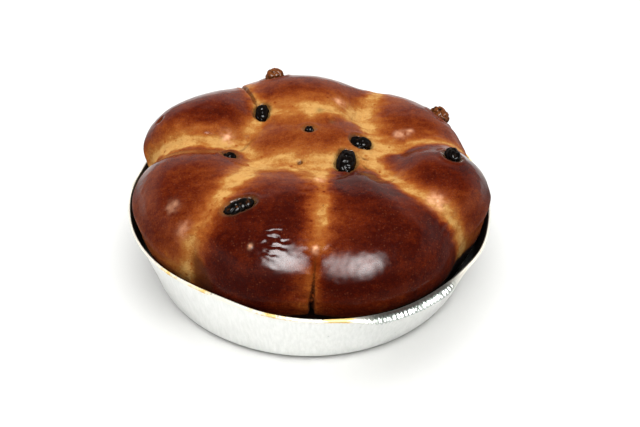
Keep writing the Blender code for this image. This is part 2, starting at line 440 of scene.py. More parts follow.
def pan_rings():
    """(radius, height) of each ring, from the middle of the base to the wall's top."""
    corner = BASE_RADIUS - CORNER_RADIUS
    rings = [*BASE_RINGS, (corner, 0.0)]
    lean = math.degrees(math.atan2(WALL_RADIUS - BASE_RADIUS, WALL_HEIGHT - CORNER_RADIUS))
    for step in range(1, CORNER_RINGS + 1):
        turn = math.radians(-90.0 + (90.0 - lean) * step / CORNER_RINGS)
        out, up = CORNER_RADIUS * math.cos(turn), CORNER_RADIUS * math.sin(turn)
        rings.append((corner + out, CORNER_RADIUS + up))
    return rings + [(wall_slope(height), height) for height in WALL_HEIGHTS]


rings = pan_rings()
rim_steps = [step / RIM_POINTS for step in range(1, RIM_POINTS + 1)]
bead_steps = [bead_point(share) for share in rim_steps]
rim_rings = [(WALL_RADIUS + out, WALL_HEIGHT + up) for out, up in bead_steps]
last_radius, last_height = rings[0]
bpy.ops.mesh.primitive_circle_add(
    vertices=PAN_EDGES,
    radius=last_radius * MM,
    fill_type="NGON",
    location=(0.0, 0.0, last_height * MM),
)
pan = bpy.context.object
pan.name = "foil_tray"
settle(pan)
with editing(pan):
    bpy.ops.mesh.select_mode(type="EDGE")
    for radius, height in rings[1:] + rim_rings:
        lift = (0.0, 0.0, (height - last_height) * MM)
        bpy.ops.mesh.extrude_edges_move(TRANSFORM_OT_translate={"value": lift})
        stretch = (radius / last_radius, radius / last_radius, 1.0)
        bpy.ops.transform.resize(value=stretch, center_override=MIDDLE)
        last_radius, last_height = radius, height
    face_outwards()
print("pan rings:", len(rings) + len(rim_rings), "vertices:", len(pan.data.vertices))

# %% [markdown]
# ### Pleats, dents and the open flange
#
# Foil can't stretch, so where it is bent round a curve it gathers in pleats. On the wall
# they are faint upright lines, and on the flange they are deep crimps. A sine wave round
# the pan would look machined, so each wave's spacing wanders and its strength comes and
# goes. A cloth simulation could crumple the sheet, but then nothing could be placed.

# %% Waves round the pan
PLEATS_WALL = 236
PLEATS_FINE = 503
PLEATS_FLANGE = 300
WANDER_FAST = (0.09, 2.4)  # size of the lumps, and how far they shift a pleat
WANDER_SLOW = (0.5, 5.0)
STRENGTH_SIZE = 0.12
STRENGTH = (0.6, 0.9)  # a pleat's usual height, and how much that varies
DENT_SIZE = 0.35

bearings = np.arange(PAN_EDGES) * 360.0 / PAN_EDGES
turns = np.radians(bearings)
circle = np.stack([np.cos(turns), np.sin(turns), np.zeros_like(turns)], axis=1)


def uneven_wave(count, seed):
    """A wave of about this many pleats round the pan, whose spacing wanders."""
    wander = lumps(circle, WANDER_FAST[0], seed) * WANDER_FAST[1]
    wander += lumps(circle, WANDER_SLOW[0], seed + 4.0) * WANDER_SLOW[1]
    strength = STRENGTH[0] + STRENGTH[1] * lumps(circle, STRENGTH_SIZE, seed + 9.0)
    return np.sin(turns * count + wander) * strength


wall_wave = uneven_wave(PLEATS_WALL, 1.0)
fine_wave = uneven_wave(PLEATS_FINE, 2.0)
flange_wave = uneven_wave(PLEATS_FLANGE, 3.0)
dent_wave = lumps(circle, DENT_SIZE, 5.0)
print("pleats: %d on the wall, %d on the flange" % (PLEATS_WALL, PLEATS_FLANGE))

# %% Sliding the rim between its two outlines
FLANGES = (Push(-60, 13, 1.0), Push(174, 4, 0.3))
OPEN_SHARE = (0.15, 0.75)
BEAD_THINNER = 0.5  # how much flatter the bead was pressed at the two sides
PRESSED = (Push(180, 50, BEAD_THINNER), Push(0, 40, BEAD_THINNER))
BEAD_PLEAT = 0.06
FLANGE_PLEAT = 0.44
RIM_RIPPLE = 0.12
FULL_PLEAT = 0.25  # share of the outline after which a pleat has its whole height


def open_share(bearing):
    """How far the rim is bent open here: 0 is rolled, 1 is a flat flange."""
    total = sum(f.shift * bump_at(bearing, f.bearing, f.spread) ** 0.5 for f in FLANGES)
    return smooth_step(total, *OPEN_SHARE)


pan_points = read_points(pan.data) / MM
angle = np.arctan2(pan_points[:, 1], pan_points[:, 0])
column = np.round(np.degrees(angle) * PAN_EDGES / 360.0).astype(int) % PAN_EDGES
bearing_of = bearings[column]
opened = open_share(bearing_of)
plump = 1.0 - pushed(bearing_of, PRESSED)
radius_of = np.hypot(pan_points[:, 0], pan_points[:, 1])
height_of = pan_points[:, 2].copy()
ring_of = np.repeat(np.arange(len(rings) + len(rim_rings)), PAN_EDGES)
new_radius = radius_of.copy()
new_height = height_of.copy()
for number, share in enumerate(rim_steps):
    here = ring_of == len(rings) + number
    open_here = opened[here]
    rolled = (1.0 - open_here) * plump[here]
    bead_out, bead_up = bead_point(share)
    flange_out, flange_up = flange_point(share)
    pleat = flange_wave[column[here]] * (BEAD_PLEAT + FLANGE_PLEAT * open_here)
    new_radius[here] = WALL_RADIUS + bead_out * rolled + flange_out * open_here
    new_radius[here] += fine_wave[column[here]] * RIM_RIPPLE
    new_height[here] = WALL_HEIGHT + bead_up * rolled + flange_up * open_here
    new_height[here] += pleat * min(1.0, share / FULL_PLEAT)
print("rim bent open over %d degrees" % (open_share(bearings).mean() * 360.0))

# %% Pleating, denting and pushing the wall
WALL_PLEAT = 0.05
WALL_FINE_PLEAT = 0.02
PLEAT_HEIGHTS = (4.0, 34.0)
DENTS_FROM = 20.0
DENT_DEPTH = 0.35
RIM_SWAY = 0.45
RIM_SWAY_SIZE = 22.0
BASE_EDGE = BASE_RADIUS - CORNER_RADIUS - 1.0

on_wall = radius_of > BASE_RADIUS
off_base = radius_of > BASE_EDGE
wall_share = smooth_step(height_of, *PLEAT_HEIGHTS) * (ring_of < len(rings))
pleats = wall_wave[column] * WALL_PLEAT + fine_wave[column] * WALL_FINE_PLEAT
new_radius += wall_share * pleats
rise = smooth_step(height_of, DENTS_FROM, WALL_HEIGHT) * on_wall
new_radius += rise * dent_wave[column] * DENT_DEPTH
bent = pushed(bearing_of, RIM_PUSHES) * np.clip(new_height / WALL_HEIGHT, 0.0, 1.0)
new_radius += bent * off_base
new_height += rise * lumps(pan_points * (1, 1, 0), RIM_SWAY_SIZE, 6.0) * RIM_SWAY
pan_points[:, 0] = new_radius * np.cos(angle)
pan_points[:, 1] = new_radius * np.sin(angle)
pan_points[:, 2] = new_height
write_points(pan.data, pan_points * MM)
print("highest foil: %.1f mm" % new_height.max())

# %% [markdown]
# ### Marks the foil's paint will need
#
# Paint nodes can't tell the rim from the wall. So the mesh carries a number a point for each
# thing the paint has to find: the rolled rim, the crimped flange, the places where egg ran over,
# and the inner wall facing the loaf, which is painted black as shade. Masks could be painted by
# hand instead, but numbers that come from the shape still fit when the shape changes.

# %% Thickness and marks
STAINS = (
    Push(-139, 7, 0.60),
    Push(-125, 6, 0.60),
    Push(-101, 9, 0.65),
    Push(-82, 5, 0.95),
    Push(95, 9, 0.6),
    Push(20, 6, 0.7),
)
RIM_HEIGHTS = (33.0, 37.0)
SHARP_ANGLE = 50.0
SHADE_FACING = (0.2, 0.6)  # how squarely a point has to face the loaf
SHADE_HEIGHT = (12.0, 20.0)

rim_share = smooth_step(height_of, *RIM_HEIGHTS) * on_wall
stain = rim_share * pushed(bearing_of, STAINS)
store_values(pan, rim=rim_share * (1.0 - opened), crimped=rim_share * opened, stain=stain)
apply_modifier(pan, "SOLIDIFY", thickness=FOIL * MM, offset=1.0)
pan.data.shade_smooth()
pan.data.set_sharp_from_angle(angle=math.radians(SHARP_ANGLE))
points, normals = skin_of(pan)
outwards = points[:, :2] / np.hypot(points[:, 0], points[:, 1])[:, None]
facing = -(normals[:, :2] * outwards).sum(axis=1)
# Painted shade: the inner wall that faces the loaf is painted black for the shade and dark
# reflection in the gap.
wall_shade = smooth_step(facing, *SHADE_FACING) * smooth_step(points[:, 2], *SHADE_HEIGHT)
store_values(pan, grease=wall_shade)
print("foil tray: %d triangles" % count_triangles(pan))

# %% [markdown]
# ## The balls of dough
#
# Each roll is a sphere that is stretched, squared off a little and widened towards the
# rim, as dough is when its neighbours hold it in. Their sizes and bearings are those of
# the plain solid. A shallow drum of dough below them fills the pan. Sculpting the loaf
# by hand would be quicker to start, but here one row of a table still moves a roll.

# %% Shaping one ball
Roll = namedtuple("Roll", "name x y turn half_length half_width taper top")
ROLLS = (
    Roll("front_right", 24, -42, -62, 40, 34, 0.30, 66),
    Roll("right", 60.5, -13, -8, 26, 29.5, 0.0, 64),
    Roll("back_right", 50, 34, 31, 26, 31.5, 0.15, 59.5),
    Roll("back", -4, 50, 82, 29.5, 37, 0.20, 67),
    Roll("back_left", -49, 33.5, 127, 28, 33, 0.25, 67.5),
    Roll("left", -52, -19, 202, 32.5, 37.5, 0.05, 65),
    Roll("front_left", -16, -42, 249, 39.5, 34, 0.05, 68),
    Roll("middle", -2, 18, 90, 28.5, 34.5, 0.10, 64.5),
)
ROLL_BELLY = 35.0
ROLL_FULLNESS = 2.35  # 2 is an ellipsoid, and more is fuller towards its corners
BALL_SEGMENTS = 96
BALL_RINGS = 48
SMALLEST = 0.05  # keeps a division safe right in the middle of a form


def add_ball(roll):
    bpy.ops.mesh.primitive_uv_sphere_add(
        segments=BALL_SEGMENTS, ring_count=BALL_RINGS, radius=1.0
    )
    ball = bpy.context.object
    points = read_points(ball.data)
    reach = (np.abs(points) ** ROLL_FULLNESS).sum(axis=1) ** (-1.0 / ROLL_FULLNESS)
    points *= reach[:, None]
    points[:, 1] *= 1.0 + roll.taper * points[:, 0]
    points *= (roll.half_length, roll.half_width, roll.top - ROLL_BELLY)
    write_points(ball.data, points * MM)
    ball.rotation_euler.z = math.radians(roll.turn)
    ball.location = (roll.x * MM, roll.y * MM, ROLL_BELLY * MM)
    settle(ball)
    return ball


# %% How far a point is from a ball
def roll_field(points, roll):
    """0 in the middle of a roll, 1 on its skin and more outside it."""
    turn = math.radians(roll.turn)
    east, north, upward = (points - (roll.x, roll.y, ROLL_BELLY)).T
    along = east * math.cos(turn) + north * math.sin(turn)
    across = north * math.cos(turn) - east * math.sin(turn)
    middle_gap = np.sqrt(along**2 + across**2 + upward**2)
    share = along / roll.half_length
    widened = roll.half_width * (1.0 + roll.taper * np.clip(share, -1.5, 1.5))
    total = np.abs(share) ** ROLL_FULLNESS + np.abs(across / widened) ** ROLL_FULLNESS
    total += np.abs(upward / (roll.top - ROLL_BELLY)) ** ROLL_FULLNESS
    field = np.maximum(total, 1e-9) ** (1.0 / ROLL_FULLNESS)
    return field, middle_gap * (1.0 - 1.0 / np.maximum(field, SMALLEST))


def roll_gaps(points):
    """Millimetres from each point to the skin of each roll, less than 0 inside it."""
    return {roll.name: roll_field(points, roll)[1] for roll in ROLLS}


print("rolls:", ", ".join(roll.name for roll in ROLLS))

# %% Seams between the rolls
# Where two rolls meet: how wide a corner the dough fills, in millimetres, near the
# middle and at the rim. Then how far the pale split reaches into each roll, also in
# millimetres, and how brown it is, again near the middle and at the rim.
Seam = namedtuple("Seam", "first second fill rim_fill reach_first reach_second tone rim_tone")
SEAMS = (
    Seam("front_left", "front_right", 14, 17, 15, 9, 0.05, 0.45),
    Seam("front_right", "right", 12, 18, 7, 14, 0.10, 0.30),
    Seam("right", "back_right", 14, 18, 6, 14, 0.12, 0.30),
    Seam("back_right", "back", 12, 28, 12, 10, 0.10, 0.25),
    Seam("back", "back_left", 10, 14, 9, 5, 0.35, 0.50),
    Seam("back_left", "left", 10, 14, 23, 5, 0.00, 0.05),
    Seam("left", "front_left", 15, 20, 12, 13, 0.05, 0.38),
    Seam("middle", "front_left", 18, 14, 17, 22, 0.10, 0.1),
    Seam("middle", "front_right", 18, 14, 19, 13, 0.08, 0.1),
    Seam("middle", "right", 14, 14, 14, 9, 0.08, 0.1),
    Seam("middle", "back_right", 14, 14, 10, 18, 0.05, 0.1),
    Seam("middle", "back", 12, 12, 8, 22, 0.10, 0.1),
    Seam("middle", "back_left", 12, 12, 9, 11, 0.15, 0.1),
    Seam("middle", "left", 12, 12, 7, 8, 0.20, 0.1),
)
OUTER_START = 45.0
OUTER_END = 80.0


def seam_value(points, near_middle, at_rim):
    """Slides from one value near the middle of the loaf to another at its rim."""
    outer = smooth_step(np.hypot(points[:, 0], points[:, 1]), OUTER_START, OUTER_END)
    return near_middle + (at_rim - near_middle) * outer


print("seams:", len(SEAMS))

# %% [markdown]
# ### Melting the balls into one loaf
#
# Balls that are only joined meet in knife-sharp grooves, while baked dough fills its
# corners. A voxel remesh welds them into one skin first. Then that skin is pulled, in
# a few steps, onto a form in which every pair of rolls has its corner filled by its
# own amount. Smoothing alone would round the grooves too, but would shrink the rolls.

# %% The form of the melted loaf
VOXEL = 0.75
MELT_STEPS = 6
MELT_ABOVE = 28.0
CRUMB_RADIUS = 80.0
CRUMB_TOP = 38.0
CRUMB_DOME = (76.0, 76.0, 24.0)
CRUMB_FILL = 10.0
CRUMB_LIFT = 1.0
BIGGEST_STEP = 2.0


def join_gaps(first, second, fill):
    """The nearer of two distances, with the corner between the two forms filled."""
    near = np.clip(fill - np.abs(first - second), 0.0, None)
    return np.minimum(first, second) - near * near / (4.0 * fill)


def loaf_gap(points):
    """Roughly how far each point is outside the melted loaf, in millimetres."""
    gaps = roll_gaps(points)
    upward = points - (0.0, 0.0, ROLL_BELLY)
    dome_field = np.sqrt(((upward / CRUMB_DOME) ** 2).sum(axis=1))
    dome_gap = np.sqrt((upward**2).sum(axis=1))
    dome_gap *= 1.0 - 1.0 / np.maximum(dome_field, SMALLEST)
    drum_gap = np.maximum(
        np.hypot(points[:, 0], points[:, 1]) - CRUMB_RADIUS, points[:, 2] - CRUMB_TOP
    )
    core = join_gaps(dome_gap, drum_gap, CRUMB_FILL)
    total = core
    for gap in gaps.values():
        total = np.minimum(total, join_gaps(gap, core, CRUMB_FILL))
    for seam in SEAMS:
        fill = seam_value(points, seam.fill, seam.rim_fill)
        total = np.minimum(total, join_gaps(gaps[seam.first], gaps[seam.second], fill))
    return total


# %% The drum, the dome and the join
balls = [add_ball(roll) for roll in ROLLS]
bpy.ops.mesh.primitive_cone_add(
    vertices=128,
    radius1=BASE_RADIUS * MM,
    radius2=CRUMB_RADIUS * MM,
    depth=(CRUMB_TOP - CRUMB_LIFT) * MM,
    location=(0.0, 0.0, (CRUMB_TOP + CRUMB_LIFT) / 2 * MM),
)
drum = bpy.context.object
settle(drum)
bpy.ops.mesh.primitive_uv_sphere_add(
    segments=BALL_SEGMENTS, ring_count=BALL_RINGS, radius=MM
)
dome = bpy.context.object
dome.scale = CRUMB_DOME
dome.location.z = ROLL_BELLY * MM
settle(dome)
pick(drum, dome, *balls)
bpy.ops.object.join()
loaf = drum
loaf.name = "challah"
apply_modifier(loaf, "REMESH", mode="VOXEL", voxel_size=VOXEL * MM)
apply_modifier(loaf, "SMOOTH", factor=0.5, iterations=12)
for _ in range(MELT_STEPS):
    points = read_points(loaf.data) / MM
    step = np.clip(loaf_gap(points), -BIGGEST_STEP, BIGGEST_STEP)
    step *= points[:, 2] > MELT_ABOVE
    points -= read_points(loaf.data, "normal") * step[:, None]
    write_points(loaf.data, points * MM)
    apply_modifier(loaf, "SMOOTH", factor=0.5, iterations=3)
print("loaf after melting: %d vertices" % len(loaf.data.vertices))

# %% [markdown]
# ### Fitting the loaf to the pan
#
# Baked dough draws back a little from the foil, and above the rim it may bulge over it.
# Each point that would be too far out is eased back. The part of the loaf that the pan
# hides is cut off and closed with a few plain faces, so the fine mesh is spent on the
# crust that shows.

# %% How far out the sides may reach
SIDE_GAP = 0.7
SIDE_SOFTNESS = 1.5
RIM_TOP = 39.5
HIDDEN_BELOW = 31.0
# Where the loaf drew back further, where it may lean out over the rim, and where its
# rolls swelled.
SHRUNK = (Push(-31, 12, 1.8), Push(184, 26, 2.0))
LEANING = (Push(196, 22, 1.2), Push(-6, 16, 1.2), Push(150, 20, 1.1))
SWELLS = (Push(196, 16, 0.8), Push(158, 12, 1.6), Push(-10, 12, 2.4))
SWELL_REACH = (55.0, 80.0)
SWELL_HEIGHTS = (38.0, 46.0)
MIDDLE_RADIUS = 40.0  # the loaf is left alone inside this
LEAST_LEAN = 0.15
LEAN_HEIGHT = 9.0


def ease_under(value, limit, softness):
    """Values near or over the limit bend down to stay under it."""
    over = np.clip((value - limit) / softness, -40.0, 40.0)
    return value - softness * np.log1p(np.exp(over))


def side_limit(bearing, height):
    gap = SIDE_GAP + pushed(bearing, SHRUNK)
    held = wall_reach(bearing, np.minimum(height, WALL_HEIGHT)) - gap
    freed = np.clip(height - RIM_TOP, 0.0, LEAN_HEIGHT)
    return held + (LEAST_LEAN + pushed(bearing, LEANING)) * freed


print("gap between loaf and wall: %.1f mm" % SIDE_GAP)

# %% Easing the sides in
points = read_points(loaf.data) / MM
bearing = np.degrees(np.arctan2(points[:, 1], points[:, 0]))
reach = np.hypot(points[:, 0], points[:, 1])
swollen = pushed(bearing, SWELLS) * smooth_step(reach, *SWELL_REACH)
swollen *= smooth_step(points[:, 2], *SWELL_HEIGHTS)
eased = ease_under(reach + swollen, side_limit(bearing, points[:, 2]), SIDE_SOFTNESS)
shrink = np.where(reach > MIDDLE_RADIUS, eased / np.maximum(reach, 1.0), 1.0)
points[:, :2] *= shrink[:, None]
write_points(loaf.data, points * MM)

with editing(loaf):
    bpy.ops.mesh.bisect(
        plane_co=(0.0, 0.0, HIDDEN_BELOW * MM),
        plane_no=(0.0, 0.0, 1.0),
        clear_inner=True,
        threshold=1e-7,
    )
print("loaf above the fold: %d vertices" % len(loaf.data.vertices))

# %% Closing the hidden part
FLOOR_RADIUS = 76.0
FLOOR_GAP = 0.8

drop = (0.0, 0.0, (FLOOR_GAP - HIDDEN_BELOW) * MM)
squeeze = FLOOR_RADIUS / (wall_reach(90.0, HIDDEN_BELOW) - SIDE_GAP)
with editing(loaf):
    bpy.ops.mesh.select_mode(type="EDGE")
    bpy.ops.mesh.select_all(action="DESELECT")
    bpy.ops.mesh.select_non_manifold()
    bpy.ops.mesh.extrude_edges_move(TRANSFORM_OT_translate={"value": drop})
    bpy.ops.transform.resize(value=(squeeze, squeeze, 1.0), center_override=MIDDLE)
    bpy.ops.mesh.edge_face_add()
    face_outwards()
print("closed loaf: %d triangles" % count_triangles(loaf))

# %% [markdown]
# ## Relief in the crust
#
# Dough is never as smooth as a ball. It has slow lumps, it splits and folds where two
# rolls meet, it wrinkles where its skin dried first, and small bubbles stand up as
# blisters. Each of these is pushed into the mesh along its normals. A bump map would do
# for the gleams, but only real relief changes the outline and shades itself. Cracks and
# folds follow short routes over the loaf, given as places seen from above, with a width
# and a depth at each.

# %% Where points are, measured along a route
def along_route(points, route):
    """For each point, how far it is from the route, and the route's width and depth there."""
    flat = points[:, :2]
    best = np.full(len(flat), 1e9)
    width = np.ones(len(flat))
    depth = np.zeros(len(flat))
    for start, end in zip(route, route[1:]):
        start, end = np.array(start), np.array(end)
        step = end[:2] - start[:2]
        share = np.clip(((flat - start[:2]) @ step) / (step @ step), 0.0, 1.0)
        gap = np.hypot(*(flat - start[:2] - share[:, None] * step).T)
        closer = gap < best
        best = np.where(closer, gap, best)
        width = np.where(closer, start[2] + (end[2] - start[2]) * share, width)
        depth = np.where(closer, start[3] + (end[3] - start[3]) * share, depth)
    return best, width, depth


# Routes of (x, y, width, depth), in millimetres.
CREASES = {
    "front_cleft": (
        (4, -67, 0.5, 0.3), (2.5, -72.5, 0.5, 0.6), (2, -76, 0.5, 0.8), (1.5, -79, 0.6, 1.2),
        (1, -81, 0.7, 2.5), (0.5, -82.5, 0.9, 5), (0, -85, 1.2, 7),
    ),
    "back_left_split": (
        (-26, 37, 0.7, 0.5), (-28, 43.5, 0.8, 1.3), (-30.5, 50, 0.8, 1.6),
        (-34, 59, 1, 2), (-38, 68, 1.4, 2.8),
    ),
    "right_fold": ((24.5, 2, 0.9, 0.2), (27, 0.5, 0.8, 0.8), (30, -1.5, 0.9, 0.2)),
    "right_fold_low": ((25, -4, 0.8, 0.3), (27.5, -7, 0.8, 0.8), (31, -9.5, 0.9, 0.2)),
    "left_pocket": (
        (-54.5, -58, 2.4, 0.2), (-52, -63, 2.2, 0.7), (-49.5, -67.5, 2.2, 1.2),
        (-46, -74, 2.4, 1.8),
    ),
    "middle_left_tuck": ((-34, 8, 1.7, 0.5), (-28, 15, 1.7, 0.4), (-23, 23, 1.7, 0.1)),
    "pit": ((-76, 30, 1.1, 1.3), (-75, 31.5, 1.1, 1.3)),
    "pit_middle": ((-5, -6, 0.7, 1.3), (-4, -5.5, 0.7, 1.3)),
    "pit_right": ((39, -20, 0.6, 1.2), (39.5, -19.5, 0.6, 1.2)),
    "front_right_heel": (
        (12, -24, 1, 0.2), (17, -18.5, 1.1, 0.9), (22, -11.5, 1.1, 0.7), (27, -7.5, 1.1, 0.2),
    ),
}
# Painted shade: a crease this deep or more is painted wholly black.
FULL_SHADE_DEPTH = 2.0  # a crease this deep or more counts wholly as a crack


def press_creases(points, normals):
    """Pushes every crease in, and returns the painted shade of each point, 0 to 1, which grows
    with its crease's depth.
    """
    cracked = np.zeros(len(points))
    moved = points.copy()
    for route in CREASES.values():
        gap, width, depth = along_route(points, route)
        pressed = np.exp(-((gap / width) ** 2)) * (points[:, 2] > HIDDEN_BELOW)
        moved -= normals * (pressed * depth)[:, None]
        cracked = np.maximum(cracked, pressed * np.clip(depth / FULL_SHADE_DEPTH, 0.0, 1.0))
    return moved, cracked


print("creases:", ", ".join(CREASES))

# %% Wrinkles and blisters
Ripple = namedtuple("Ripple", "x y bearing pitch height length width")
RIPPLES = (
    Ripple(-16, -65, 80, 3, 0.42, 7.5, 5),
    Ripple(66, -44, -30, 3.4, 0.30, 5, 8),
)
Blister = namedtuple("Blister", "x y radius height")
BLISTERS = (
    Blister(2.5, -69, 1.8, 0.7),
    Blister(59.5, -34, 1.6, 0.5),
    Blister(62, -36.5, 1.9, 0.55),
    Blister(47.5, 20.5, 3.4, 0.5),
    Blister(-26.5, -68, 1.2, 0.4),
    Blister(-38, 6, 3.2, 0.6),
)
RIPPLE_BEND_SIZE = 4.0
RIPPLE_BEND = 3.2


def add_ripples(points, normals):
    moved = points.copy()
    for ripple in RIPPLES:
        turn = math.radians(ripple.bearing)
        offset = points[:, :2] - (ripple.x, ripple.y)
        along = offset @ (math.cos(turn), math.sin(turn))
        across = offset @ (-math.sin(turn), math.cos(turn))
        near = np.exp(-((along / ripple.length) ** 2) - (across / ripple.width) ** 2)
        bend = lumps(points, RIPPLE_BEND_SIZE, 12.0, 2) * RIPPLE_BEND
        wave = np.sin(2 * math.pi * along / ripple.pitch + bend)
        moved += normals * (near * wave * ripple.height)[:, None]
    return moved


def add_blisters(points, normals):
    moved = points.copy()
    for blister in BLISTERS:
        gap = np.hypot(points[:, 0] - blister.x, points[:, 1] - blister.y)
        near = np.exp(-((gap / blister.radius) ** 2)) * blister.height
        moved += normals * near[:, None]
    return moved


print("ripples: %d, blisters: %d" % (len(RIPPLES), len(BLISTERS)))

# %% Pushing the relief in
# Heights between which the side, tucked behind the rim, turns from painted black shade to brown.
SHADED_EDGE = (32.8, 33.8)
# Lumps of the dough: their size and their height.
SLOW_LUMPS = (26.0, 0.8)
LUMPS = (9.0, 0.22)
FINE_LUMPS = (2.8, 0.08)
RELIEF_FADE = 4.0  # the relief grows over this height above the hidden part

points, normals = skin_of(loaf)
crust_share = smooth_step(points[:, 2], HIDDEN_BELOW, HIDDEN_BELOW + RELIEF_FADE)
layers = zip((SLOW_LUMPS, LUMPS, FINE_LUMPS), (3.0, 8.0, 5.0))
raised = sum(lumps(points, size, seed) * tall for (size, tall), seed in layers)
points += normals * (raised * crust_share)[:, None]
points, cracked = press_creases(points, normals)
points = add_ripples(points, normals)
points = add_blisters(points, normals)
write_points(loaf.data, points * MM)
loaf.data.shade_smooth()
# The side tucked behind the rim joins the same mask, so it is painted black as shade.
cracked = np.maximum(cracked, 1.0 - smooth_step(points[:, 2], *SHADED_EDGE))
store_values(loaf, crack=cracked)
deepest = max(place[3] for route in CREASES.values() for place in route)
print("relief done, deepest crack %.1f mm" % deepest)

# %% [markdown]
# ### How dark each spot baked
#
# The tops of the rolls are brushed with egg and face the heat, so they turn to
# mahogany. The seams opened late, when the dough stretched, so they stayed golden.
# How far a point lies inside one roll and outside its neighbour says how near the seam
# it is. Each seam has its own reach into both rolls and its own tone. A texture could be
# painted by hand, but a tone that follows the form stays true when a roll is moved.

# %% How dark the crests and seams are
# How dark each roll's crest baked, and how much paler it is down by the rim.
CREST_TONE = {
    "front_right": (0.94, 0.08),
    "right": (0.90, 0.3),
    "back_right": (0.74, 0.3),
    "back": (0.74, 0.2),
    "back_left": (0.81, 0.4),
    "left": (0.75, 0.40),
    "front_left": (0.98, 0.10),
    "middle": (0.61, 0.0),
}
EDGE_PALER = 0.15
EDGE_WIDTH = 24.0
RAGGED = (7.0, 2.2)  # size of a seam's tatters, and how far they reach
TORN_CORE = 0.18
TORN_FALL = 1.8
LOW_HEIGHTS = (38.5, 48.0)
NUDGE = 0.5
LEAST_SLOPE = 0.2


def distance_to_seams(points):
    """How far each point is on the first roll's side of each seam, in millimetres."""
    here = roll_gaps(points)
    beside = [roll_gaps(points + step) for step in np.eye(3) * NUDGE]
    distances = {}
    for seam in SEAMS:
        apart = here[seam.second] - here[seam.first]
        slopes = [(gaps[seam.second] - gaps[seam.first] - apart) / NUDGE for gaps in beside]
        steepness = np.sqrt(sum(slope**2 for slope in slopes))
        distances[seam] = apart / np.maximum(steepness, LEAST_SLOPE)
    return here, distances


def bake_map(points):
    """(bake, shred) of each point: how brown it is, and how much it is torn pale dough."""
    gaps, distances = distance_to_seams(points)
    nearest = np.min(list(gaps.values()), axis=0)
    ragged = lumps(points, RAGGED[0], 31.0, 3) * RAGGED[1]
    low = 1.0 - smooth_step(points[:, 2], *LOW_HEIGHTS)
    bake = np.zeros(len(points))
    shred = np.zeros(len(points))
    for roll in ROLLS:
        own = gaps[roll.name] <= nearest
        crest, paler = CREST_TONE[roll.name]
        tone = crest * (1.0 - paler * low)
        open_dough = np.zeros(len(points))
        inside = np.full(len(points), EDGE_WIDTH)
        for seam, distance in distances.items():
            if roll.name not in (seam.first, seam.second):
                continue
            is_first = roll.name == seam.first
            apart = distance if is_first else -distance
            reach = seam.reach_first if is_first else seam.reach_second
            share = (apart + ragged) / reach * (1.0 + TORN_CORE) - TORN_CORE
            away = 1.0 - (1.0 - np.clip(share, 0.0, 1.0)) ** TORN_FALL
            edge = seam_value(points, seam.tone, seam.rim_tone)
            tone = tone * (edge + (1.0 - edge) * away)
            open_dough = np.maximum(open_dough, (1.0 - away) * (1.0 - edge))
            inside = np.minimum(inside, apart)
        tone *= 1.0 - EDGE_PALER * (1.0 - smooth_step(inside, 0.0, EDGE_WIDTH))
        bake[own] = tone[own]
        shred[own] = open_dough[own]
    return bake, shred


points = read_points(loaf.data) / MM
bake, shred = bake_map(points)
print("bake from %.2f to %.2f" % (bake.min(), bake.max()))

# %% [markdown]
# ### Spots, painted highlights and the reach of the glaze
#
# No oven browns evenly. Wide soft spots shift the tone up or down, small pale pink spots are
# painted highlights for the glints on blisters and smooth patches, and where the dough tore last
# the surface is dull. Random noise alone would scatter such marks anywhere. The large ones are
# placed, and noise only frays their edges and adds fine streaks. The brush of egg reached the
# tops and hardly the sides, so the glaze fades downwards.

# %% Placed spots
Spot = namedtuple("Spot", "x y radius shift")
# Places the heat browned more, or less, than their neighbours.
BROWNING = (
    Spot(-19, -27, 13, -0.30),
    Spot(-4, -61, 10, 0.12),
    Spot(24, -30, 12, 0.10),
    Spot(16, -53, 6, -0.18),
    Spot(4, -36, 8, 0.42),
    Spot(0, -2, 7, 0.08),
    Spot(3, -75, 7, 0.35),
    Spot(-50, 23, 11, 0.12),
    Spot(-62, 11, 6, -0.20),
    Spot(-52, -42, 7, 0.14),
    Spot(-57, -56, 9, -0.11),
    Spot(-79, -28, 8, -0.12),
    Spot(68, -38, 9, -0.26),
    Spot(60, -46, 7, 0.30),
    Spot(81, -26, 7, -0.18),
    Spot(44, 23, 7, -0.12),
    Spot(49, 11, 7, 0.12),
    Spot(48, 51, 8, -0.12),
    Spot(34, 24, 9, 0.14),
    Spot(-11, 32, 6, 0.10),
    Spot(-22, 13, 9, 0.08),
    Spot(-4, 26, 6, -0.08),
    Spot(-37, 17, 6, 0.07),
)
# The skin tore here and stays dull.
DULL = (Spot(3, -68, 5, 1), Spot(2.5, -76, 5.5, 1))
# Painted highlights: small pale pink spots for the glints on blisters and smooth patches.
PAINTED_GLINTS = (
    Spot(44, 20.5, 1.8, 0.5),
    Spot(47.5, 20, 2.2, 0.5),
    Spot(51, 22, 1.5, 0.4),
    Spot(59, -35.5, 3.6, 0.7),
    Spot(-40.5, 15, 2.4, 0.7),
    Spot(16, 41.5, 2.2, 0.6),
    Spot(2.5, -69, 1.3, 1),
    Spot(-26.5, -68, 1, 0.4),
    Spot(-63.5, -38.5, 2.8, 0.3),
    Spot(-57.5, -50.5, 2.8, 0.3),
    Spot(5, -25, 2.6, 0.4),
)
LOW_GLAZE = 0.14  # how much of the glaze is left low on the sides
GLAZE_HEIGHTS = (48.5, 57.5)
GLAZE_EDGE = (12.0, 1.5)  # size and height of the waves in the glaze's lower edge
TONE_LUMPS = (13.0, 0.10)
STREAK_SIZE = 4.5
STREAK = (0.06, 0.22)  # strength on the crests, and how much more where the dough tore
STREAK_STRETCH = (0.3, 1.0, 0.6)
# How the painted highlight spots fray: the size of the fraying, then a spot's strength and how
# much that varies.
FRAY_SIZE = 2.5
FRAY = (0.96, 1.28)  # strength of a scuff, and how much that varies inside it


def spot_map(points, spots):
    total = np.zeros(len(points))
    for spot in spots:
        gap = np.hypot(points[:, 0] - spot.x, points[:, 1] - spot.y)
        total += spot.shift * np.exp(-((gap / spot.radius) ** 2))
    return total


